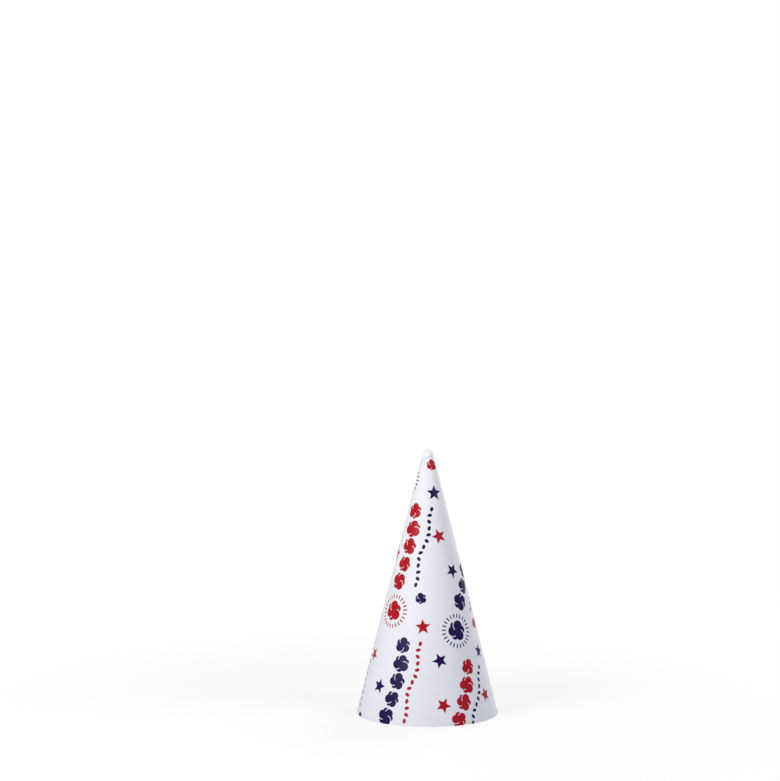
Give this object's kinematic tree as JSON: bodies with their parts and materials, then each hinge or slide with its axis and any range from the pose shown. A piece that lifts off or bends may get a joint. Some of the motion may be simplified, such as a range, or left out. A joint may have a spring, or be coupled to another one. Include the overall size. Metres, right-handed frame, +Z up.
{
  "type": "popcorn cone",
  "caption": "Rolled paper popcorn cone with a glued lap edge, an open mouth and a blunt closed tip, standing on its mouth.",
  "frame": {"origin": "centre of the mouth's rim, in the plane that the cone stands on", "axes": "+Z up the cone's axis to the closed tip, -Y towards the printed front, +X to the right seen from that front"},
  "size_m": [0.1181, 0.1179, 0.221],
  "materials": {
    "coated_paper": "satin"
  },
  "bodies": {
    "root": {"paper_cone": "coated_paper"}
  },
  "joints": []
}
